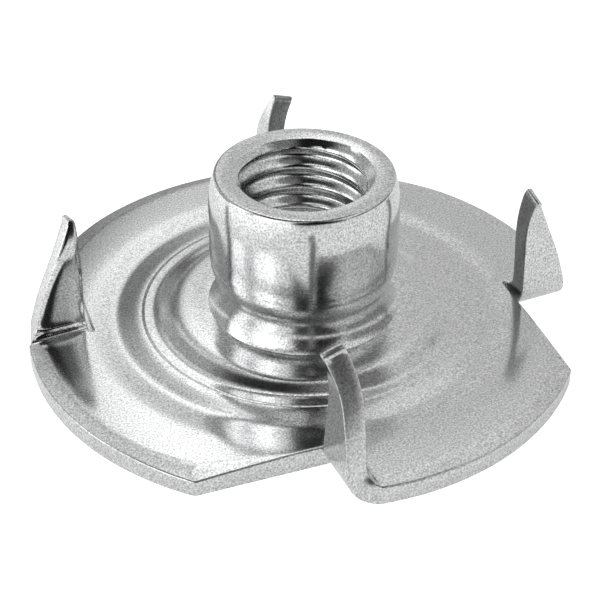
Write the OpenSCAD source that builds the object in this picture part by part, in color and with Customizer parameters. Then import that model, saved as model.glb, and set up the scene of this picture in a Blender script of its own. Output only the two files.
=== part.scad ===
// Four-prong tee nut: a round sheet flange, a drawn and threaded barrel standing on it,
// and four prongs sheared out of the rim and folded up to bite into wood.
// Units are millimetres. The origin is at the middle of the flange's underside, +Z up the barrel.

/* [Sheet] */
// Thickness of the sheet that the nut is pressed from
sheet_t = 0.75; // [0.65:0.05:0.85]
// Diameter of the flange
flange_d = 19.05; // [18.4:0.05:20.4]
// Width of the rounded-over band that the blanking die leaves along the top of the rim
rim_roll_w = 0.5; // [0.3:0.05:0.7]
// Drop of that band at the very edge
rim_roll_drop = 0.06; // [0.04:0.01:0.1]

/* [Barrel] */
// Outer diameter of the barrel's straight part
barrel_d = 6.4; // [6.3:0.02:6.6]
// Length of that straight part, above the shoulder of the neck
barrel_straight = 1.7; // [1.4:0.05:1.9]
// Radius at which the barrel's side bows inwards above the straight part
barrel_bow = 4; // [2.5:0.1:5]
// Height of the barrel's top above the underside
barrel_h = 6.15; // [5.8:0.05:7]
// Rounding of the barrel's top outer edge
barrel_edge = 0.12; // [0.08:0.01:0.25]
// How far the neck just above the flange is drawn in from the barrel's side
neck_in = 0.26; // [0.22:0.01:0.32]
// Height of the narrowest place of the neck above the underside
neck_z = 1.88; // [1.8:0.02:2]
// Radius of the hollow round the foot of the neck
neck_hollow = 1.05; // [1:0.01:1.15]
// Radius of the rounded shoulder between the neck and the plain barrel
neck_shoulder = 2.5; // [2:0.1:3]

/* [Thread] */
// Diameter of the bore at the crests of the thread (No. 10-32)
bore_d = 4.1; // [4:0.02:4.2]
// Diameter of the countersunk mouth at the barrel's top
mouth_d = 4.65; // [4.4:0.05:5]
// Depth of that countersink
mouth_depth = 0.2; // [0.1:0.01:0.3]
// Rounding of the drawn edge where the bore opens on the underside
entry_round = 0.75; // [0.6:0.05:0.85]

/* [Rings pressed into the flange] */
// Height of the raised ring above the flange's top face
ring_rise = 0.35; // [0.25:0.01:0.4]
// Diameter up to which the raised ring is level
ring_top_d = 8.4; // [8.2:0.05:8.6]
// Diameter at which the raised ring has run out into the flange
ring_foot_d = 10.9; // [10.7:0.05:11.1]
// Width of the sloping wall of the recess under the raised ring
recess_slope = 0.5; // [0.4:0.05:0.7]
// Diameter of the lowest line of the shallow wave outside the raised ring
wave_d = 13.7; // [13.5:0.05:13.9]
// Distance from that line to where the flange is level again
wave_half_w = 0.9; // [0.7:0.05:1]
// Depth of the wave
wave_depth = 0.05; // [0.03:0.01:0.1]

/* [Prongs] */
// Number of prongs
prong_count = 4; // [3:1:4]
// Direction of the first prong's fold line, in degrees from +X
fold_angle = 25; // [0:5:45]
// Distance from the nut's axis to the line where the fold begins
fold_offset = 1.64; // [1.4:0.01:1.8]
// Inside radius of the fold
fold_radius = 0.26; // [0.2:0.01:0.4]
// Angle through which the sheet is folded up, in degrees
fold_turn = 94; // [92:1:97]
// Distance from the nut's axis to the prong's inner edge, along the fold line
prong_inner = 7.2; // [7:0.05:7.4]
// Angle by which the cut in the flange runs in from a square cut, in degrees
cut_skew = 4; // [0:1:6]
// Rounding of the cut's inner end
notch_round = 0.15; // [0.08:0.01:0.2]
// Length of the prong's straight lower part, above the fold
prong_straight = 1.8; // [1.5:0.1:2]
// Radius at which the prong's upper part curls back, at the middle of the sheet
curl_radius = 3.9; // [3.2:0.1:5]
// Radius of the slight bow of the prong's outer edge
prong_bow = 50; // [20:1:100]
// Height of the prong's tip above the underside
prong_h = 4.8; // [4.4:0.05:5]
// Radius of the blunt tip
tip_round = 0.22; // [0.16:0.01:0.26]

/* [Hidden] */
$fn = 96;
// Distance that cutting shapes run past the faces they cut
past = 1;
flange_r = flange_d / 2;
barrel_r = barrel_d / 2;
neck_r = barrel_r - neck_in;
bore_r = bore_d / 2;
mouth_r = mouth_d / 2;
ring_z = sheet_t + ring_rise;
ring_top_r = ring_top_d / 2;
ring_foot_r = ring_foot_d / 2;
wave_r = wave_d / 2;
wave_z = sheet_t - wave_depth;
// The recess under the raised ring is as deep as the ring is high, so the sheet keeps its thickness
recess_r = (ring_top_r + ring_foot_r) / 2;
// The neck's hollow arc and shoulder arc meet tangentially at join_z; the barrel's side stands
// upright from the shoulder's end to bow_z, where the bow starts
hollow_x = neck_r + neck_hollow;
shoulder_x = barrel_r - neck_shoulder;
arc_gap = neck_hollow + neck_shoulder;
shoulder_z = neck_z + sqrt(arc_gap ^ 2 - (hollow_x - shoulder_x) ^ 2);
join_z = shoulder_z - neck_shoulder * (shoulder_z - neck_z) / arc_gap;
bow_z = shoulder_z + barrel_straight;
// The rounding of the barrel's top edge touches the bow at bow_top_z
bow_x = barrel_r - barrel_bow;
edge_z = barrel_h - barrel_edge;
edge_x = bow_x + sqrt((barrel_bow - barrel_edge) ^ 2 - (edge_z - bow_z) ^ 2);
bow_top_z = edge_z + barrel_edge * (edge_z - bow_z) / (barrel_bow - barrel_edge);
// The rounded-over rim is part of a circle that touches the flange's top face
roll_r = (rim_roll_w ^ 2 + rim_roll_drop ^ 2) / (2 * rim_roll_drop);
// Height of the line round which the sheet is folded
fold_z = sheet_t + fold_radius;
// A prong's outer edge bows from the rim, where the fold begins, to the tip's rounding, which
// it touches at bow_end_z; its centre follows from these two places
tip_x = prong_inner + tip_round;
tip_z = prong_h - tip_round;
root_x = sqrt(flange_r ^ 2 - fold_offset ^ 2);
// The bow leaves the rim a little above the sheet's top face, so that it takes nothing off the flange
root_z = sheet_t + 0.03;
edge_run = norm([tip_x - root_x, tip_z - root_z]);
edge_lean = atan2(root_x - tip_x, tip_z - root_z);
bow_along = (prong_bow ^ 2 - (prong_bow - tip_round) ^ 2 + edge_run ^ 2) / (2 * edge_run);
bow_off = sqrt(prong_bow ^ 2 - bow_along ^ 2);
prong_bow_x = root_x - bow_along * sin(edge_lean) - bow_off * cos(edge_lean);
prong_bow_z = root_z + bow_along * cos(edge_lean) - bow_off * sin(edge_lean);
bow_end_z = tip_z + tip_round * (tip_z - prong_bow_z) / (prong_bow - tip_round);
// Where the rounding of the cut's inner end touches the fold line and the cut
notch_run = notch_round * (1 - sin(cut_skew)) / cos(cut_skew);

// Half-section of the drawn barrel with its necked foot
module barrel_section() {
    difference() {
        union() {
            square([barrel_r, bow_z]);
            intersection() {
                square([barrel_r, bow_top_z]);
                translate([bow_x, bow_z]) circle(r = barrel_bow);
            }
            square([edge_x, barrel_h]);
            translate([edge_x, edge_z]) circle(r = barrel_edge);
            square([hollow_x, neck_z]);
        }
        translate([hollow_x, neck_z]) circle(r = neck_hollow);
        difference() {
            translate([shoulder_x, join_z]) square([neck_shoulder + past, shoulder_z - join_z]);
            translate([shoulder_x, shoulder_z]) circle(r = neck_shoulder);
        }
    }
}

// The room above a smooth step that falls from z_high at x_high to z_low at x_low
module above_step(x_high, z_high, x_low, z_low) {
    half_run = abs(x_low - x_high) / 2;
    fall = z_high - z_low;
    arc_r = half_run ^ 2 / fall + fall / 4;
    outward = x_low > x_high;
    x_mid = (x_high + x_low) / 2;
    intersection() {
        translate([x_low, z_low + arc_r]) circle(r = arc_r);
        translate([outward ? x_mid : x_low, z_low]) square([half_run, fall + past]);
    }
    difference() {
        translate([outward ? x_high : x_mid, z_low + fall / 2]) square([half_run, fall + past]);
        translate([x_high, z_high - arc_r]) circle(r = arc_r);
    }
}

// Half-section of the flange, with its raised ring, shallow wave and rounded-over rim
module flange_section() {
    difference() {
        square([flange_r, ring_z]);
        above_step(ring_top_r, ring_z, ring_foot_r, sheet_t);
        translate([ring_foot_r, sheet_t]) square([flange_r, ring_rise + past]);
        above_step(wave_r - wave_half_w, sheet_t, wave_r, wave_z);
        above_step(wave_r + wave_half_w, sheet_t, wave_r, wave_z);
        difference() {
            translate([flange_r - rim_roll_w, sheet_t - rim_roll_drop]) square([rim_roll_w + past, past]);
            translate([flange_r - rim_roll_w, sheet_t - roll_r]) circle(r = roll_r);
        }
    }
}

// The bore, its countersunk mouth, and the drawn recess and rounded entry on the underside
module bore() {
    translate([0, 0, -past]) cylinder(r = bore_r, h = barrel_h + 2 * past);
    translate([0, 0, barrel_h - mouth_depth]) cylinder(r1 = bore_r, r2 = mouth_r, h = mouth_depth);
    translate([0, 0, barrel_h]) cylinder(r = mouth_r, h = past);
    cylinder(r1 = recess_r, r2 = recess_r - recess_slope, h = ring_rise);
    translate([0, 0, -past]) cylinder(r = recess_r, h = past);
    rotate_extrude() difference() {
        square([bore_r + entry_round, ring_rise + entry_round]);
        translate([bore_r + entry_round, ring_rise + entry_round]) circle(r = entry_round);
    }
}

// Puts what belongs to one prong in its place: X runs out along the fold, -Y across it
module at_fold(i) {
    rotate(fold_angle + i * 360 / prong_count) translate([0, -fold_offset, 0]) children();
}

// The gap that a folded prong leaves behind, from the fold to the skewed cut
module prong_gap() {
    reach = 2 * flange_r;
    notch_x = prong_inner + notch_run;
    cut_start = [prong_inner - notch_run * sin(cut_skew), -notch_run * cos(cut_skew)];
    cut_end = [prong_inner - reach * tan(cut_skew), -reach];
    translate([0, 0, -past]) linear_extrude(sheet_t + 2 * past) {
        polygon([[notch_x, 0], [notch_x, -notch_round], cut_start, cut_end, [reach, -reach], [reach, 0]]);
        translate([notch_x, -notch_round]) circle(r = notch_round);
    }
}

// A flat ring as wide as the sheet is thick
module sheet_ring(inside_r) {
    difference() {
        circle(r = inside_r + sheet_t);
        circle(r = inside_r);
    }
}

// The folded sheet's own section, seen along the fold line: X away from the flange, Y up.
// Fold, straight part and curl are drawn upright round the fold's centre, then leaned over together
module folded_section() {
    curl_inside_r = curl_radius - sheet_t / 2;
    curl_outside_r = curl_radius + sheet_t / 2;
    difference() {
        translate([0, fold_z]) rotate(fold_turn - 90) {
            difference() {
                sheet_ring(fold_radius);
                translate([-flange_r, 0]) square([2 * flange_r, flange_r]);
            }
            translate([fold_radius, 0]) square([sheet_t, prong_straight]);
            translate([fold_radius + curl_outside_r, prong_straight]) intersection() {
                sheet_ring(curl_inside_r);
                translate([-curl_outside_r, 0]) square(curl_outside_r);
            }
        }
        translate([-flange_r, -past]) square([flange_r, fold_z + past]);
    }
}

// The prong's outline seen square to the fold: the bowed outer edge, the sheared inner edge, the blunt tip
module prong_outline() {
    intersection() {
        translate([prong_bow_x, prong_bow_z]) circle(r = prong_bow);
        union() {
            translate([prong_inner, 0]) square([tip_round, tip_z]);
            translate([tip_x, 0]) square([flange_r, bow_end_z]);
        }
    }
    translate([tip_x, tip_z]) circle(r = tip_round);
}

// One standing prong: the folded section swept along the fold, trimmed to the outline and to the rim
module prong() {
    intersection() {
        translate([flange_r, 0, 0]) rotate([90, 0, -90])
            linear_extrude(flange_r - prong_inner) folded_section();
        translate([0, past, 0]) rotate([90, 0, 0]) linear_extrude(flange_r) prong_outline();
        translate([0, fold_offset, 0]) cylinder(r = flange_r, h = barrel_h, $fn = 240);
    }
}

// The whole nut: flange and barrel turned in one, prongs folded up, bore cut through
module tee_nut() {
    color([0.78, 0.79, 0.8]) difference() {
        union() {
            difference() {
                rotate_extrude($fn = 240) union() {
                    flange_section();
                    barrel_section();
                }
                for (i = [0:prong_count - 1]) at_fold(i) prong_gap();
            }
            for (i = [0:prong_count - 1]) at_fold(i) prong();
        }
        bore();
    }
}

tee_nut();
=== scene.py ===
import math

import bmesh
import bpy
import numpy as np
from mathutils import Matrix, Vector
from mathutils.geometry import delaunay_2d_cdt


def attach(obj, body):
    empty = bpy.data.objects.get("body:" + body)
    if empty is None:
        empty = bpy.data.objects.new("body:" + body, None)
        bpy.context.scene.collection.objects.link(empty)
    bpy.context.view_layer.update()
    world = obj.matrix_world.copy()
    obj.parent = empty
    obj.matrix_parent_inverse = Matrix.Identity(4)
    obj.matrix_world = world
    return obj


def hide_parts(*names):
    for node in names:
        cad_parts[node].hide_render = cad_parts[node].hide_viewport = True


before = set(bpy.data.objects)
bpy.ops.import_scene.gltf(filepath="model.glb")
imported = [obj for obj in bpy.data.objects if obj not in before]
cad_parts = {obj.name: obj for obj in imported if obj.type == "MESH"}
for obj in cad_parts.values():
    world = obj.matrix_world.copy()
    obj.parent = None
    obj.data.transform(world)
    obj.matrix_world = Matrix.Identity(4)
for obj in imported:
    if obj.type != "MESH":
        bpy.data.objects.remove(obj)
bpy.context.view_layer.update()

# The camera: a long lens on a stand, looking down on the nut from the front, a little
# clockwise of level. Its place is in the nut's own frame, in metres.
camera_place = Vector((0.0, -0.04258, 0.03154))
camera_pitch, camera_yaw, camera_roll = 0.6225, -0.0024, 0.0113
focal_pixels, frame_pixels = 1503.74, 600
sensor_mm = 36.0
nearest_seen = 0.001
forward = Vector((math.sin(camera_yaw) * math.cos(camera_pitch),
                  math.cos(camera_yaw) * math.cos(camera_pitch),
                  -math.sin(camera_pitch)))
level_right = Vector((math.cos(camera_yaw), -math.sin(camera_yaw), 0.0))
level_up = level_right.cross(forward)
picture_right = level_right * math.cos(camera_roll) + level_up * math.sin(camera_roll)
picture_up = level_up * math.cos(camera_roll) - level_right * math.sin(camera_roll)
camera_data = bpy.data.cameras.new("camera")
camera_data.sensor_width = sensor_mm
camera_data.lens = focal_pixels / frame_pixels * sensor_mm
camera_data.clip_start = nearest_seen
camera = bpy.data.objects.new("camera", camera_data)
camera.matrix_world = Matrix.Translation(camera_place) @ Matrix((
    (picture_right.x, picture_up.x, -forward.x),
    (picture_right.y, picture_up.y, -forward.y),
    (picture_right.z, picture_up.z, -forward.z))).to_4x4()
bpy.context.scene.collection.objects.link(camera)
bpy.context.scene.camera = camera
bpy.context.scene.view_settings.view_transform = "Standard"


# The studio: pale walls and a ceiling panel behind the nut, soft boxes on its left and in
# front, and a dark flag that shades the wall on its right. The room itself is nearly unlit.
# All of it is light of the world, with no lamps.
class Socket:
    """A value in a node tree; the usual operators add the Math nodes they stand for."""

    def __init__(self, tree, value):
        self.tree, self.value = tree, value

    def node(self, kind, settings=None, inputs=None, output=0):
        """One output of a new node, with its settings and the values or links of its inputs."""
        made = self.tree.nodes.new(kind)
        for name, setting in (settings or {}).items():
            setattr(made, name, setting)
        for name, value in (inputs or {}).items():
            if isinstance(value, Socket):
                value = value.value
            if isinstance(value, bpy.types.NodeSocket):
                self.tree.links.new(value, made.inputs[name])
            else:
                made.inputs[name].default_value = value
        return Socket(self.tree, made.outputs[output])

    def maths(self, operation, *others):
        """The result of a Math node on this value and the others."""
        inputs = {i: value for i, value in enumerate((self,) + others)}
        return self.node("ShaderNodeMath", {"operation": operation}, inputs)

    def __add__(self, other):
        return self.maths("ADD", other)

    def __radd__(self, other):
        return self.maths("ADD", other)

    def __sub__(self, other):
        return self.maths("SUBTRACT", other)

    def __rsub__(self, other):
        return Socket(self.tree, other).maths("SUBTRACT", self)

    def __mul__(self, other):
        return self.maths("MULTIPLY", other)

    def __rmul__(self, other):
        return self.maths("MULTIPLY", other)

    def __truediv__(self, other):
        return self.maths("DIVIDE", other)

    def smooth(self, start, end):
        """A share that eases from 0 at the start to 1 at the end."""
        return self.node("ShaderNodeMapRange", {"interpolation_type": "SMOOTHSTEP"},
                         {0: self, 1: start, 2: end, 3: 0.0, 4: 1.0})


world = bpy.data.worlds.new("studio")
world.use_nodes = True
bpy.context.scene.world = world
world.node_tree.nodes.clear()
sky = Socket(world.node_tree, None)
direction = sky.node("ShaderNodeTexCoord", output="Generated")
look = direction.node("ShaderNodeSeparateXYZ", inputs={0: direction})
east, north, up = (Socket(world.node_tree, look.value.node.outputs[i]) for i in range(3))


def soft_box(azimuth, elevation, half_width, half_height, blur, strength):
    """Light from a far panel; all but its strength is in degrees, as seen from the nut."""
    a, e = math.radians(azimuth), math.radians(elevation)
    middle = (math.cos(e) * math.cos(a), math.cos(e) * math.sin(a), math.sin(e))
    across = (-math.sin(a), math.cos(a), 0.0)
    upward = (-math.sin(e) * math.cos(a), -math.sin(e) * math.sin(a), math.cos(e))
    depth, wide, high = (east * v[0] + north * v[1] + up * v[2] for v in (middle, across, upward))
    turn = wide.maths("ARCTAN2", depth).maths("ABSOLUTE")
    lift = high.maths("ARCSINE").maths("ABSOLUTE")
    w, h, b = (math.radians(v) for v in (half_width, half_height, blur))
    return turn.smooth(w + b, w - b) * lift.smooth(h + b, h - b) * strength


room = 0.006
back_wall = soft_box(24, 20, 66, 40, 3, 0.76)
ceiling = soft_box(20, 72, 40, 13, 5, 0.24)
left_wall = soft_box(165, 29, 38, 33, 6, 0.54)
near_left_wall = soft_box(126, 14, 16, 13, 6, 0.4)
slope_window = soft_box(113, 54, 11, 16, 4, 0.5)
low_window = soft_box(98, 8, 8, 15, 4, 0.45)
bright_panel = soft_box(95.5, 46, 3.6, 9, 3, 1.1)
top_box = soft_box(91, 66, 10, 10, 4, 1.3)
left_sheet = soft_box(-154, 14, 33, 30, 5, 0.8)
left_strip = soft_box(-175, 14, 9, 30, 4, 1.2)
front_strip = soft_box(-139, 10, 10, 33, 4, 1.8)
front_box = soft_box(-118, 6, 15, 36, 4, 1.5)
front_top_box = soft_box(-110, 56, 16, 6, 4, 1.2)
right_box = soft_box(-20, 38, 16, 14, 5, 0.25)
# The flag takes away part of the back wall's light where it hangs in front of it
dark_flag = soft_box(0, 14, 34, 14, 6, -0.46)
wave_window = soft_box(104, 30, 10, 10, 4, 0.25)
light = (back_wall + ceiling + left_wall + near_left_wall
         + slope_window + low_window + bright_panel + top_box
         + left_sheet + left_strip + front_strip + front_box + front_top_box
         + right_box + dark_flag + wave_window + room)
# The camera sees the room as plain white
rays = sky.node("ShaderNodeLightPath")
seen = Socket(world.node_tree, rays.value.node.outputs["Is Camera Ray"])
brightness = light * (1 - seen) + seen
background = sky.node("ShaderNodeBackground", inputs={"Strength": brightness})
world_out = world.node_tree.nodes.new("ShaderNodeOutputWorld")
world.node_tree.links.new(background.value, world_out.inputs["Surface"])

# The table top: a square of matt white board that the nut stands on. In the plating it shines with an even
# glow of its own, and brighter still in a painted pool of light to the nut's left, on the soft boxes'
# side.
table_half = 0.4
table_drop = 0.00002
# The board's even glow, and the extra glow of a painted pool of light to the nut's left
table_glow, painted_pool_glow = 0.42, 0.45
left_from, left_full = 0.004, 0.030
board_white = (0.8, 0.8, 0.8, 1)
table_mesh = bpy.data.meshes.new("table")
table_mesh.from_pydata([(x, y, -table_drop) for x, y in (
    (-table_half, -table_half), (table_half, -table_half),
    (table_half, table_half), (-table_half, table_half))], [], [(0, 1, 2, 3)])
table = bpy.data.objects.new("table", table_mesh)
bpy.context.scene.collection.objects.link(table)
table_finish = bpy.data.materials.new("white_table")
table_finish.use_nodes = True
table_finish.node_tree.nodes.clear()
top = Socket(table_finish.node_tree, None)
path = top.node("ShaderNodeLightPath")
watched = [Socket(table_finish.node_tree, path.value.node.outputs[name])
           for name in ("Is Camera Ray", "Is Glossy Ray", "Is Transmission Ray")]
table_x = top.node("ShaderNodeSeparateXYZ", inputs={0: top.node("ShaderNodeTexCoord", output="Object")})
# Painted pool of light: the board's glow in the plating grows towards the nut's left
painted_pool_share = (table_x * -1).smooth(left_from, left_full)
shown = watched[0] + (watched[1] + watched[2]) * (painted_pool_share * painted_pool_glow + table_glow)
matt = top.node("ShaderNodeBsdfDiffuse", inputs={"Color": board_white})
glow = top.node("ShaderNodeEmission", inputs={"Strength": 1.0})
both = top.node("ShaderNodeAddShader", inputs={0: matt, 1: glow})
table_shader = top.node("ShaderNodeMixShader", inputs={0: shown, 1: matt, 2: both})
table_out = table_finish.node_tree.nodes.new("ShaderNodeOutputMaterial")
table_finish.node_tree.links.new(table_shader.value, table_out.inputs["Surface"])
table_mesh.materials.append(table_finish)

# The drawn barrel: one quarter of its outside, from the flat mouth down over the bowed and
# the straight side, the shoulder and the neck to the crease at its foot. A quarter of the
# nut is drawn in millimetres, with its prong's fold along X, and turned into place later.
mm = 0.001
quarter_from, quarter_to, quarter_steps = 20.0, -70.0, 62
barrel_r, barrel_straight, barrel_bow, barrel_h, barrel_edge = 3.2, 1.7, 4.0, 6.15, 0.12
mouth_r, mouth_depth = 2.325, 0.2
mouth_lip = ((mouth_r, 0.045), (2.4, 0.032), (2.5, 0.019), (2.6, 0.009), (2.68, 0.002), (2.74, 0.0))
mouth_flat_end = 0.04
neck_r, neck_z, neck_hollow, neck_shoulder = 2.94, 1.88, 1.05, 2.5
ring_z = 1.10
# The quarter's points and faces, and which points lie on a sheared edge or on a prong's darker inner edge
points, faces, sheared, darker_inner_edge = [], [], [], []


def add_rows(rows):
    """Adds a grid of points, rows by columns, and the faces between them."""
    first = len(points)
    wide = len(rows[0])
    for row in rows:
        points.extend(row)
        sheared.extend([0.0] * wide)
        darker_inner_edge.extend([0.0] * wide)
    for j in range(len(rows) - 1):
        for i in range(wide - 1):
            a = first + j * wide + i
            faces.append((a, a + 1, a + wide + 1, a + wide))
    return first


columns = np.radians(np.linspace(quarter_from, quarter_to, quarter_steps + 1))


def turned(profile):
    """The rows of a shape that is turned on the barrel's axis, a quarter of the way round."""
    return [[(r * math.cos(a), r * math.sin(a), z) for a in columns] for r, z in profile]


def arc(cx, cz, r, start, end, steps):
    """Points on an arc of a profile, between two angles in degrees."""
    return [(cx + r * math.cos(math.radians(a)), cz + r * math.sin(math.radians(a)))
            for a in np.linspace(start, end, steps)]


hollow_x = neck_r + neck_hollow
shoulder_x = barrel_r - neck_shoulder
arc_gap = neck_hollow + neck_shoulder
shoulder_z = neck_z + math.sqrt(arc_gap ** 2 - (hollow_x - shoulder_x) ** 2)
join_angle = math.degrees(math.asin((shoulder_z - neck_z) / arc_gap))
foot_angle = math.degrees(math.asin((neck_z - ring_z) / neck_hollow))
foot_r = hollow_x - neck_hollow * math.cos(math.radians(foot_angle))
bow_x = barrel_r - barrel_bow
edge_z = barrel_h - barrel_edge
bow_z = shoulder_z + barrel_straight
edge_x = bow_x + math.sqrt((barrel_bow - barrel_edge) ** 2 - (edge_z - bow_z) ** 2)
bow_angle = math.degrees(math.asin((edge_z - bow_z) / (barrel_bow - barrel_edge)))
bow_top_share = 0.96
barrel_profile = (
    [(r, barrel_h - drop) for r, drop in mouth_lip]
    + [(edge_x - mouth_flat_end, barrel_h)]
    + arc(edge_x, edge_z, barrel_edge, 90, bow_angle, 8)
    + arc(bow_x, bow_z, barrel_bow, bow_angle * bow_top_share, 0, 14)
    + [(barrel_r, shoulder_z + barrel_straight * share) for share in (0.8, 0.6, 0.4, 0.2)]
    + arc(shoulder_x, shoulder_z, neck_shoulder, 0, -join_angle, 10)
    + arc(hollow_x, neck_z, neck_hollow, 180 - join_angle, 180 + foot_angle, 26)[1:])

# The flange's pressed rings: a raised ring round the barrel's foot, a fine score where it
# runs out, and a shallow wave outside it. The die leaves them in the face of the sheet,
# and underneath it leaves a recess behind the raised ring.
sheet_t = 0.75
flange_r = 9.525
plain_r = 6.2
recess_r, recess_slope, recess_h = 4.825, 0.5, 0.35
bore_r, entry_round = 2.05, 0.75
level_r, mend_r = 8.4, 5.3
slope_from, slope_to, slope_points = 3.2, 9.6, 6401
# The slope of the top face by radius; between these points it changes evenly
slope_at = np.array([
    (3.3, -0.03), (3.45, -0.05), (3.7, -0.06), (4.0, -0.04), (4.25, -0.08),
    (4.45, -0.18), (4.6, -0.34), (4.72, -0.43), (4.95, -0.43), (5.08, -0.27), (5.22, -0.06),
    (5.35, 0.0), (5.50, 0.0), (5.535, -0.24), (5.575, -0.24), (5.61, 0.0),
    (5.7, -0.04), (5.85, -0.10), (6.1, -0.13), (6.33, -0.13), (6.47, -0.04),
    (6.62, 0.06), (6.85, 0.08), (7.1, 0.08), (7.35, 0.06), (7.6, 0.01), (7.9, -0.01),
    (8.3, -0.02), (8.8, -0.03), (9.2, -0.05), (9.6, -0.05)])
fine_r = np.linspace(slope_from, slope_to, slope_points)
fine_slope = np.interp(fine_r, slope_at[:, 0], slope_at[:, 1])
fine_z = np.concatenate([[0], np.cumsum((fine_slope[1:] + fine_slope[:-1]) / 2 * np.diff(fine_r))])
# The face is one sheet up at the level radius, and meets the barrel's foot exactly
fine_z += sheet_t - np.interp(level_r, fine_r, fine_z)
foot_gap = ring_z - np.interp(foot_r, fine_r, fine_z)
fine_z += foot_gap * np.clip((mend_r - fine_r) / (mend_r - foot_r), 0, 1)


def top_z(r):
    """Height of the flange's top face at a radius."""
    return np.interp(r, fine_r, fine_z)


score_from, score_to = 5.40, 5.72
score_radii = [5.45, 5.48, 5.505, 5.53, 5.555, 5.58, 5.60, 5.62, 5.66]
ring_points, outer_points = 36, 6
ring_radii = np.concatenate([np.linspace(foot_r, score_from, ring_points)[1:],
                             score_radii,
                             np.linspace(score_to, plain_r, outer_points)])
ring_profile = [(r, float(top_z(r))) for r in ring_radii]
add_rows(turned(barrel_profile + ring_profile))
under_profile = [
    (plain_r, 0.0), (5.6, 0.0), (5.2, 0.0), (4.9, 0.0),
    (recess_r, 0.0), (4.79, 0.025), (4.65, 0.125), (4.49, 0.235), (4.36, 0.325),
    (recess_r - recess_slope, recess_h), (4.25, recess_h), (3.6, recess_h), (3.1, recess_h),
    (bore_r + entry_round, recess_h)]
add_rows(turned(under_profile))

# The flange outside the rings: flat sheet between a circle and the blanked outline, which
# runs along the rim, the start of the fold, the end of the cut, the skewed cut and its
# rounded corner. It is a patch of small triangles, finer towards the sheared outline.
fold_angle, fold_offset, fold_radius, fold_turn = 25.0, 1.64, 0.26, 94.0
prong_inner, cut_skew = 7.2, 4.0
edge_round, low_round = 0.055, 0.03
slit_half = 0.07
corner_r = 0.2
edge_r = flange_r - edge_round
slit_r = slit_half + edge_round
rim_gap, cut_gap = 1.1, 0.14
slit_points, corner_points, seam_points = 9, 7, 25


def along(start, end, gap):
    """Even places from start to end, no further apart than the gap."""
    steps = max(2, int(math.ceil(abs(end - start) / gap)) + 1)
    return np.linspace(start, end, steps)


fold_end = -math.degrees(math.asin(fold_offset / edge_r))
outline = [(edge_r * math.cos(math.radians(a)), edge_r * math.sin(math.radians(a)))
           for a in along(quarter_from, fold_end, rim_gap)]
rim_first = len(outline)
fold_out = math.sqrt(edge_r ** 2 - fold_offset ** 2)
fold_in = prong_inner + slit_r
# Shares of the fold's length, closer together towards its two ends
fold_across = np.concatenate([[0, 0.012, 0.03, 0.055, 0.085, 0.12], np.linspace(0.16, 0.80, 13),
                              [0.85, 0.89, 0.925, 0.955, 0.98, 1]])
outline += [(fold_out + (fold_in - fold_out) * w, -fold_offset) for w in fold_across[1:]]
fold_last = len(outline)
outline += [(prong_inner + slit_r * math.cos(a), -fold_offset + slit_r * math.sin(a))
            for a in np.linspace(0, math.pi, slit_points)[1:]]
cut_start = Vector((prong_inner - slit_r, -fold_offset))
cut_way = Vector((-math.sin(math.radians(cut_skew)), -math.cos(math.radians(cut_skew))))
half_chord = math.sqrt(cut_start.dot(cut_way) ** 2 - cut_start.length_squared + edge_r ** 2)
reach = half_chord - cut_start.dot(cut_way)
corner = cut_start + cut_way * reach
corner_angle = math.atan2(corner.y, corner.x)
rim_way = Vector((math.sin(corner_angle), -math.cos(corner_angle)))
corner_back = corner_r * math.tan(cut_way.angle(rim_way) / 2)
outline += [tuple(cut_start + cut_way * s) for s in along(0, reach - corner_back, cut_gap)[1:]]
corner_from = corner - cut_way * corner_back
corner_to = corner + rim_way * corner_back
for s in np.linspace(0, 1, corner_points)[1:]:
    p = corner_from.lerp(corner, s).lerp(corner.lerp(corner_to, s), s)
    outline.append(tuple(p * min(1.0, edge_r / p.length)))
outline += [(edge_r * math.cos(math.radians(a)), edge_r * math.sin(math.radians(a)))
            for a in along(math.degrees(math.atan2(corner_to.y, corner_to.x)), quarter_to, rim_gap)[1:]]
outline = np.array(outline)
seam_radii = np.linspace(plain_r, edge_r, seam_points)
far_seam = [(r * math.cos(columns[-1]), r * math.sin(columns[-1])) for r in seam_radii[1:-1][::-1]]
near_seam = [(r * math.cos(columns[0]), r * math.sin(columns[0])) for r in seam_radii[1:-1]]
inner_arc = [(plain_r * math.cos(a), plain_r * math.sin(a)) for a in columns[::-1]]
border = np.array([tuple(p) for p in outline] + far_seam + inner_arc + near_seam)
far_off = 99.0


def segment_distance(p, a, b):
    """Distance of each point p from the straight line between a and b."""
    ab, ap = b - a, p - a
    t = np.clip((ap @ ab) / (ab @ ab), 0, 1)
    return np.linalg.norm(ap - t[:, None] * ab, axis=1)


def outline_distance(p, keep):
    """Distance of each point p from those sides of the outline that are kept."""
    best = np.full(len(p), far_off)
    for a, b, k in zip(outline[:-1], outline[1:], keep):
        if k:
            best = np.minimum(best, segment_distance(p, a, b))
    return best


# Rows of points follow the outline inwards, and rings of points fill the rest
all_sides = [True] * (len(outline) - 1)
row_distances = (0.05, 0.11, 0.18, 0.26, 0.35, 0.45, 0.55, 0.65, 0.76)
own_side = 0.97
ring_gap, ring_spacing, ring_margin, ring_stagger = 0.11, 0.125, 0.6, (0.25, 0.5)
border_clear = 0.045
point_cell, point_clear = 0.06, 0.055
step = np.gradient(outline, axis=0)
inward = np.stack([step[:, 1], -step[:, 0]], axis=1)
inward /= np.linalg.norm(inward, axis=1)[:, None]
inner_points = []
for distance in row_distances:
    moved = outline + inward * distance
    inner_points.extend(moved[outline_distance(moved, all_sides) > distance * own_side])
for k, r in enumerate(np.arange(plain_r + ring_gap, edge_r - ring_margin, ring_gap)):
    n = int(math.radians(90) * r / ring_spacing)
    for i in range(n):
        a = columns[0] + (columns[-1] - columns[0]) * (i + ring_stagger[k % 2]) / n
        inner_points.append((r * math.cos(a), r * math.sin(a)))
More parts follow.
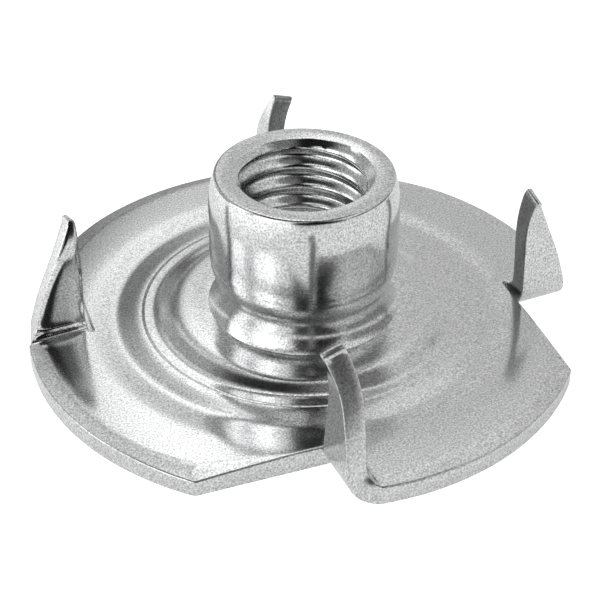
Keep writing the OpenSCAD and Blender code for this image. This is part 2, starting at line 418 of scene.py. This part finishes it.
inner_points = np.array(inner_points)
inside = np.zeros(len(inner_points), bool)
border_gap = np.full(len(inner_points), far_off)
for a, b in zip(border, np.roll(border, -1, axis=0)):
    border_gap = np.minimum(border_gap, segment_distance(inner_points, a, b))
    if a[1] != b[1]:
        crosses = (a[1] > inner_points[:, 1]) != (b[1] > inner_points[:, 1])
        crossing_x = a[0] + (inner_points[:, 1] - a[1]) * (b[0] - a[0]) / (b[1] - a[1])
        inside ^= crosses & (inner_points[:, 0] < crossing_x)
inner_points = inner_points[inside & (border_gap > border_clear)]
# Of points that crowd each other, only the first is kept
kept, cells = [], {}
for p in inner_points:
    key = (int(p[0] // point_cell), int(p[1] // point_cell))
    near = [q for dx in (-1, 0, 1) for dy in (-1, 0, 1) for q in cells.get((key[0] + dx, key[1] + dy), [])]
    if all((p[0] - q[0]) ** 2 + (p[1] - q[1]) ** 2 > point_clear ** 2 for q in near):
        cells.setdefault(key, []).append(p)
        kept.append(p)
flat_points = [Vector(p) for p in np.concatenate([border, np.array(kept)])]
patch_tolerance = 1e-7
patch = delaunay_2d_cdt(flat_points, [], [list(range(len(border)))], 1, patch_tolerance)
patch_xy = np.array([tuple(v) for v in patch[0]])
patch_of = {source: new for new, sources in enumerate(patch[3]) for source in sources}
patch_faces = [tuple(f) for f in patch[2]]

# The sheared outline is drawn down a little, widest at the corner of each cut
cut_lip_width, cut_lip_length, cut_lip_least, cut_lip_slope = 0.62, 3.2, 0.02, 0.2
rim_lip_width, rim_lip_slope = 0.42, 0.1
corner_lip_width, corner_lip_slope, corner_lip_length = 0.2, 0.1, 2.5
fold_clear, fold_inside = 0.8, 1.0
rim_sides = [not (rim_first - 1 <= i < fold_last - 1) for i in range(len(outline) - 1)]
to_edge = outline_distance(patch_xy, rim_sides)
from_corner = np.linalg.norm(patch_xy - np.array(corner), axis=1)
near_corner = np.clip(1 - from_corner / corner_lip_length, 0, 1)
to_cut = segment_distance(patch_xy, np.array(cut_start), np.array(corner))
on_cut = to_cut < np.abs(edge_r - np.linalg.norm(patch_xy, axis=1))
lip_width = np.where(on_cut, cut_lip_width * np.clip(1 - from_corner / cut_lip_length, cut_lip_least, 1),
                     rim_lip_width + corner_lip_width * near_corner)
lip_slope = np.where(on_cut, cut_lip_slope, rim_lip_slope + corner_lip_slope * near_corner)
fold_gap = np.clip(np.abs(patch_xy[:, 1] + fold_offset) / fold_clear, 0, 1)
near_fold = np.where(patch_xy[:, 0] > prong_inner - fold_inside, fold_gap, 1.0)
lip = -lip_slope * np.clip(lip_width - to_edge, 0, None) * near_fold
patch_top = top_z(np.linalg.norm(patch_xy, axis=1)) + lip
top_first = len(points)
points.extend([(x, y, z) for (x, y), z in zip(patch_xy, patch_top)])
bottom_first = len(points)
points.extend([(x, y, 0.0) for x, y in patch_xy])
sheared.extend([0.0] * (2 * len(patch_xy)))
darker_inner_edge.extend([0.0] * (2 * len(patch_xy)))
for f in patch_faces:
    faces.append(tuple(top_first + v for v in f))
    faces.append(tuple(bottom_first + v for v in reversed(f)))

# The prong: the same sheet carried on round the fold, up, and back in a gentle curl to a
# blunt tip, cut square to the sheet. Its long edges are sheared, so its inner face rolls
# over towards them, and the fold's inside is filled out a little where it is pinched.
prong_straight, curl_radius = 1.8, 3.9
# The tip's height on the inner face, side 1, and on the outer face, side -1
tip_h, tip_round = {1: 4.96, -1: 4.72}, 0.22
roll_depth, roll_full_width, roll_start = 0.10, 1.5, 0.8
fold_fill, fold_fill_past = 0.10, 0.3
tip_fade = 0.5
prong_edge, prong_taper, prong_bow = 9.18, 0.132, 0.048
prong_edge_at_fold, root_length = 9.123, 1.0
middle_r = fold_radius + sheet_t / 2
fold_arc = math.radians(fold_turn) * middle_r


def prong_middle(s):
    """Middle of the sheet, across the fold and up, and its turn, at a distance s past the fold line."""
    turn = min(s, fold_arc) / middle_r
    y = -middle_r * math.sin(turn)
    z = sheet_t / 2 + middle_r * (1 - math.cos(turn))
    run = min(max(s - fold_arc, 0.0), prong_straight)
    y -= run * math.cos(turn)
    z += run * math.sin(turn)
    back = max(s - fold_arc - prong_straight, 0.0) / curl_radius
    y += curl_radius * (math.sin(turn - back) - math.sin(turn))
    z += curl_radius * (math.cos(turn - back) - math.cos(turn))
    return y, z, turn - back


def prong_side(s, side):
    """Place across and up on the inner face, side 1, or the outer face, side -1."""
    y, z, turn = prong_middle(s)
    return y + side * math.sin(turn) * sheet_t / 2, z + side * math.cos(turn) * sheet_t / 2, turn


prong_reach, halvings = 8.0, 40


def path_at_height(z, side):
    """Distance past the fold line at which one face of the prong is at a height."""
    low, high = fold_arc, prong_reach
    for _ in range(halvings):
        half = (low + high) / 2
        low, high = (half, high) if prong_side(half, side)[1] < z else (low, half)
    return low


def outer_edge(z, s):
    """Distance of the prong's outer edge from the axis, along the fold."""
    root = max(0.0, 1 - s / root_length)
    flare = (fold_out + edge_round - prong_edge_at_fold) * root ** 2
    return prong_edge - prong_taper * z - prong_bow * z * z - edge_round + flare


shoulder_h = 4.58
tip_hold = tip_round - edge_round
fold_share, fold_rows, side_rows, tip_rows = 0.32, 18, 20, 6
# Radians of the quarter round at the tip that are kept, before it ends flat
tip_kept = 1.30
# Shares of the way up to the tip's round, and on to 2 over the round itself
rise_steps = np.concatenate([np.linspace(0, fold_share, fold_rows + 1),
                             np.linspace(fold_share, 1, side_rows + 1)[1:],
                             1 + np.arange(1, tip_rows + 1) / tip_rows])
face_rows = {}
for side in (1, -1):
    tip_z = tip_h[side] - tip_round
    shoulder_path = path_at_height(tip_z, side)
    rows = []
    for k in rise_steps:
        if k <= 1:
            s = shoulder_path * k
            y, z, turn = prong_side(s, side)
            edge_height = prong_middle(s)[1] if s < fold_arc else z
            outer = outer_edge(edge_height * shoulder_h / tip_z, s) if k > 0 else fold_out
            inner = fold_in
        else:
            lift = math.sin((k - 1) * tip_kept)
            s = path_at_height(tip_z + tip_hold * lift, side)
            y, z, turn = prong_side(s, side)
            wide = outer_edge(shoulder_h, shoulder_path)
            squeeze = math.sqrt(1 - lift * lift)
            outer = (wide + fold_in) / 2 + (wide - fold_in) / 2 * squeeze
            inner = (wide + fold_in) / 2 - (wide - fold_in) / 2 * squeeze
        rows.append((s, y, z, turn, outer, inner))
    face_rows[side] = rows
top_rows, bottom_rows, facing = [], [], []
end_path = face_rows[1][-1][0]
for (s, y, z, turn, outer, inner), low_row in zip(face_rows[1], face_rows[-1]):
    low_y, low_z, low_turn, low_outer, low_inner = low_row[1:]
    fade = max(0.0, 1 - s / fold_arc)
    to_tip = np.clip(1 - (end_path - s) / tip_fade, 0, 1)
    row = []
    for w in fold_across:
        x = outer + (inner - outer) * w
        rise = (float(top_z(math.hypot(x, fold_offset))) - sheet_t) * fade
        roll = roll_depth * min(1.0, (outer - inner) / roll_full_width) * abs(2 * w - 1) ** 4
        roll *= min(1.0, s / roll_start)
        roll *= 1 - float(to_tip)
        roll -= fold_fill * math.sin(math.pi * min(1.0, s / (fold_arc + fold_fill_past))) ** 2
        off = rise - roll
        row.append((x, y - fold_offset + math.sin(turn) * off, z + math.cos(turn) * off))
    top_rows.append(row)
    bottom_rows.append([(low_outer + (low_inner - low_outer) * w, low_y - fold_offset, low_z)
                        for w in fold_across])
    middle_turn = (turn + low_turn) / 2
    facing.append((0.0, math.sin(middle_turn), math.cos(middle_turn)))
prong_top = add_rows(top_rows)
prong_bottom = add_rows(bottom_rows)

# The sheared edge runs round the whole outline: along the rim, up and down the prong,
# round the end of the cut and along the cut. The shear leaves a small round at both its
# corners, and the prong's inner side is marked to be drawn darker than the rest.
across_n, rows_n = len(fold_across), len(top_rows)
edge_line = []


def follow_patch(places):
    """Carries the edge line along the flat outline, as top point, bottom point and facing."""
    for i in places:
        edge_line.append((top_first + patch_of[i], bottom_first + patch_of[i], (0, 0, 1)))


def follow_prong(j, i):
    """Carries the edge line to one place on the prong, by its row and its column."""
    edge_line.append((prong_top + j * across_n + i, prong_bottom + j * across_n + i, facing[j]))


follow_patch(range(rim_first))
for j in range(1, rows_n):
    follow_prong(j, 0)
for i in range(1, across_n - 1):
    follow_prong(rows_n - 1, i)
darker_from = len(edge_line)
for j in range(rows_n - 1, 0, -1):
    follow_prong(j, across_n - 1)
darker_to = len(edge_line)
follow_patch(range(fold_last - 1, len(outline)))
line_top = np.array([points[a] for a, b, n in edge_line])
line_bottom = np.array([points[b] for a, b, n in edge_line])
line_face = np.array([n for a, b, n in edge_line], float)
line_run = np.gradient((line_top + line_bottom) / 2, axis=0)
line_out = np.cross(line_face, line_run)
line_out /= np.linalg.norm(line_out, axis=1)[:, None]
line_out[0] = (math.cos(columns[0]), math.sin(columns[0]), 0)
line_out[-1] = (math.cos(columns[-1]), math.sin(columns[-1]), 0)
round_turns, side_shares = (30, 60, 90), (0.33, 0.66)
side_top = line_top - line_face * edge_round
side_bottom = line_bottom + line_face * low_round
bands = []
for a in np.radians(round_turns):
    drop = edge_round * (1 - math.cos(a))
    bands.append(line_top + line_out * edge_round * math.sin(a) - line_face * drop)
for share in side_shares:
    bands.append(side_top * (1 - share) + side_bottom * share + line_out * edge_round)
for a in np.radians(round_turns[::-1]):
    lift = low_round * (1 - math.cos(a))
    bands.append(line_bottom + line_out * edge_round * math.sin(a) + line_face * lift)
previous = [a for a, b, n in edge_line]
for band in bands:
    current = list(range(len(points), len(points) + len(band)))
    points.extend([tuple(p) for p in band])
    sheared.extend([1.0] * len(band))
    darker_inner_edge.extend([1.0 if darker_from <= i < darker_to else 0.0 for i in range(len(band))])
    for i in range(len(band) - 1):
        faces.append((previous[i], previous[i + 1], current[i + 1], current[i]))
    previous = current
current = [b for a, b, n in edge_line]
for i in range(len(current) - 1):
    faces.append((previous[i], previous[i + 1], current[i + 1], current[i]))

# The quarter is turned until its fold stands where it belongs, and put into metres
quarter_mesh = bpy.data.meshes.new("quarter")
spin = math.radians(fold_angle)
placed = [(mm * (x * math.cos(spin) - y * math.sin(spin)),
           mm * (x * math.sin(spin) + y * math.cos(spin)), mm * z) for x, y, z in points]
quarter_mesh.from_pydata(placed, [], faces)
for name, marks in (("sheared", sheared), ("darker_inner_edge", darker_inner_edge)):
    quarter_mesh.attributes.new(name, "FLOAT", "POINT").data.foreach_set("value", marks)
quarter = bpy.data.objects.new("quarter", quarter_mesh)
bpy.context.scene.collection.objects.link(quarter)

# The whole pressing: four like quarters round the barrel's axis, one piece of sheet. A node
# tree turns copies of the quarter and welds them where they meet.
quarters, weld_distance = 4, 2e-7
repeat = bpy.data.node_groups.new("quarters_in_a_ring", "GeometryNodeTree")
repeat.interface.new_socket("Quarter", in_out="INPUT", socket_type="NodeSocketGeometry")
repeat.interface.new_socket("Count", in_out="INPUT", socket_type="NodeSocketInt")
repeat.interface.new_socket("Weld", in_out="INPUT", socket_type="NodeSocketFloat")
repeat.interface.new_socket("Material", in_out="INPUT", socket_type="NodeSocketMaterial")
repeat.interface.new_socket("Skin", in_out="OUTPUT", socket_type="NodeSocketGeometry")
given = repeat.nodes.new("NodeGroupInput")
turner = Socket(repeat, None)
count = Socket(repeat, given.outputs["Count"])
quarter_turn = turner.node("GeometryNodeInputIndex") * (2 * math.pi) / count
turn_vector = turner.node("ShaderNodeCombineXYZ", inputs={2: quarter_turn})
places = turner.node("GeometryNodePoints", inputs={"Count": count})
copies = turner.node("GeometryNodeInstanceOnPoints", inputs={
    "Points": places, "Instance": given.outputs["Quarter"], "Rotation": turn_vector})
real = turner.node("GeometryNodeRealizeInstances", inputs={0: copies})
welded = turner.node("GeometryNodeMergeByDistance", inputs={
    "Geometry": real, "Distance": given.outputs["Weld"]})
dressed = turner.node("GeometryNodeSetMaterial", inputs={
    "Geometry": welded, "Material": given.outputs["Material"]})
result = repeat.nodes.new("NodeGroupOutput")
repeat.links.new(dressed.value, result.inputs[0])

# The bore: a No. 10-32 thread, right-hand, 0.794 mm pitch, tapped through the drawn barrel
# from its countersunk mouth to the rounded entry below. A node tree bends a grid into it.
pitch = 0.79375
thread_root_r = 2.38
thread_phase = 0.69
flank_run, mouth_flare, lead_out_run = 0.39, 0.35, 0.25
rows_a_turn = 16
straight_rows, entry_rows = 118, 14
mouth_top = barrel_h - mouth_lip[0][1]
entry_top = recess_h + entry_round
tap = bpy.data.node_groups.new("tapped_bore", "GeometryNodeTree")
for name in ("Pitch", "Crest radius", "Root radius", "Phase"):
    tap.interface.new_socket(name, in_out="INPUT", socket_type="NodeSocketFloat")
tap.interface.new_socket("Material", in_out="INPUT", socket_type="NodeSocketMaterial")
tap.interface.new_socket("Bore", in_out="OUTPUT", socket_type="NodeSocketGeometry")
sizes = tap.nodes.new("NodeGroupInput")
drill = Socket(tap, None)
lead, crest, root_of_thread, phase = (Socket(tap, sizes.outputs[i]) for i in range(4))
bore_rows = straight_rows + entry_rows
grid = drill.node("GeometryNodeMeshGrid", inputs={
    "Size X": 1.0, "Size Y": 1.0,
    "Vertices X": quarters * quarter_steps + 1, "Vertices Y": bore_rows + 1})
place = drill.node("ShaderNodeSeparateXYZ", inputs={0: drill.node("GeometryNodeInputPosition")})
round_share = Socket(tap, place.value.node.outputs[0]) + 0.5
row = (0.5 - Socket(tap, place.value.node.outputs[1])) * bore_rows
start_angle = math.radians(fold_angle + quarter_from)
bore_angle = round_share * (2 * math.pi) + start_angle
# Each row of the grid climbs with the thread, and is held at the mouth and at the entry
climb = (round_share - row / rows_a_turn) * lead + mouth_top
straight_z = climb.maths("MINIMUM", mouth_top).maths("MAXIMUM", entry_top)
bend = ((row - straight_rows) / entry_rows).maths("MAXIMUM", 0.0) * (math.pi / 2)
bore_z = straight_z - bend.maths("SINE") * entry_round
plain = (1 - bend.maths("COSINE")) * entry_round + bore_r
mouth = mouth_r - (mouth_top - bore_z) * ((mouth_r - bore_r) / mouth_depth)
turns = bore_z / lead - bore_angle / (2 * math.pi) - phase
from_crest = (turns.maths("FRACT") - 0.5).maths("ABSOLUTE") * lead
groove = crest + from_crest.smooth(0.0, flank_run) * (root_of_thread - crest)
# The thread runs out into the mouth above and into the plain entry below
near_mouth = mouth_r + (mouth_top - bore_z) * mouth_flare
lead_out = (bore_z - entry_top).smooth(0.0, lead_out_run)
threaded = crest + (groove.maths("MINIMUM", near_mouth) - crest) * lead_out
bore_wall = plain.maths("MAXIMUM", mouth).maths("MAXIMUM", threaded)
bent = drill.node("ShaderNodeCombineXYZ", inputs={
    0: bore_wall * bore_angle.maths("COSINE") * mm,
    1: bore_wall * bore_angle.maths("SINE") * mm,
    2: bore_z * mm})
tapped = drill.node("GeometryNodeSetPosition", inputs={"Geometry": grid, "Position": bent})
whole = drill.node("GeometryNodeRealizeInstances", inputs={0: tapped})
finished = drill.node("GeometryNodeSetMaterial", inputs={
    "Geometry": whole, "Material": sizes.outputs["Material"]})
tap_out = tap.nodes.new("NodeGroupOutput")
tap.links.new(finished.value, tap_out.inputs[0])

# Bright zinc plate over the rolled sheet: a fine, even grain everywhere, a little duller on
# the sheared edges and in the barrel's neck, and darker on the prongs' inner edges.
plate_grey, grain_depth, cloud_depth, inner_edge_darkening = 0.70, 1.5, 0.06, 0.5
red_tint, blue_tint = 0.995, 1.004
plate_rough, cloud_rough, edge_rough, neck_rough = 0.15, 0.05, 0.14, 0.06
neck_top_z, neck_full_z, neck_out_r, neck_in_r = 3.4, 2.5, 4.2, 3.4
zinc = bpy.data.materials.new("bright_zinc")
zinc.use_nodes = True
zinc.node_tree.nodes.clear()
plate = Socket(zinc.node_tree, None)
spot = plate.node("ShaderNodeTexCoord", output="Object")
grain = plate.node("ShaderNodeTexNoise", inputs={
    "Vector": spot, "Scale": 16000.0, "Detail": 2.0, "Roughness": 0.6})
cloud = plate.node("ShaderNodeTexNoise", inputs={
    "Vector": spot, "Scale": 700.0, "Detail": 3.0, "Roughness": 0.55})
edge = plate.node("ShaderNodeAttribute", {"attribute_name": "sheared"}, output="Fac")
darker_mark = plate.node("ShaderNodeAttribute", {"attribute_name": "darker_inner_edge"}, output="Fac")
level = plate_grey + (grain - 0.5) * grain_depth + (cloud - 0.5) * cloud_depth
# The prongs' inner sheared edges are drawn darker
level = level * (1 - darker_mark * inner_edge_darkening)
colour = plate.node("ShaderNodeCombineColor", inputs={0: level * red_tint, 1: level, 2: level * blue_tint})
where = plate.node("ShaderNodeSeparateXYZ", inputs={0: spot})
x, y, z = (Socket(zinc.node_tree, where.value.node.outputs[i]) for i in range(3))
from_axis = (x * x + y * y).maths("SQRT")
neck = z.smooth(neck_top_z * mm, neck_full_z * mm) * from_axis.smooth(neck_out_r * mm, neck_in_r * mm)
rough = plate_rough + (cloud - 0.5) * cloud_rough + edge * edge_rough + neck * neck_rough
relief = plate.node("ShaderNodeBump", inputs={"Strength": 0.06, "Distance": 0.00001, "Height": grain})
metal = plate.node("ShaderNodeBsdfPrincipled", inputs={
    "Base Color": colour, "Metallic": 1.0, "Roughness": rough, "Normal": relief})
zinc_out = zinc.node_tree.nodes.new("ShaderNodeOutputMaterial")
zinc.node_tree.links.new(metal.value, zinc_out.inputs["Surface"])


def grown(carrier, tree, values):
    """The plain mesh that a node tree makes of an object."""
    modifier = carrier.modifiers.new("tree", "NODES")
    modifier.node_group = tree
    named = {item.name: item.identifier for item in tree.interface.items_tree if item.in_out == "INPUT"}
    for name, value in values.items():
        modifier[named[name]] = value
    bpy.context.view_layer.update()
    graph = bpy.context.evaluated_depsgraph_get()
    mesh = bpy.data.meshes.new_from_object(carrier.evaluated_get(graph), depsgraph=graph)
    carrier.modifiers.remove(modifier)
    return mesh


# The finished nut: the pressing and its tapped bore, welded into one closed piece and
# plated all over. It takes the place of the plain solid.
shortest_edge, sharp_turn = 1e-8, 32
skin_mesh = grown(quarter, repeat, {"Count": quarters, "Weld": weld_distance, "Material": zinc})
bore_carrier = bpy.data.objects.new("bore_carrier", bpy.data.meshes.new("bore_blank"))
bpy.context.scene.collection.objects.link(bore_carrier)
bore_mesh = grown(bore_carrier, tap, {
    "Pitch": pitch, "Crest radius": bore_r, "Root radius": thread_root_r,
    "Phase": thread_phase, "Material": zinc})
joined = bmesh.new()
joined.from_mesh(skin_mesh)
joined.from_mesh(bore_mesh)
bmesh.ops.remove_doubles(joined, verts=joined.verts, dist=weld_distance)
bmesh.ops.dissolve_degenerate(joined, edges=joined.edges, dist=shortest_edge)
bmesh.ops.recalc_face_normals(joined, faces=joined.faces)
nut_mesh = bpy.data.meshes.new("pressed_tee_nut")
joined.to_mesh(nut_mesh)
joined.free()
nut_mesh.materials.clear()
nut_mesh.materials.append(zinc)
nut_mesh.shade_smooth()
nut_mesh.set_sharp_from_angle(angle=math.radians(sharp_turn))
nut = bpy.data.objects.new("pressed_tee_nut", nut_mesh)
bpy.context.scene.collection.objects.link(nut)
for spent in (quarter, bore_carrier):
    bpy.data.objects.remove(spent)
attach(nut, "root")
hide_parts("tee_nut")
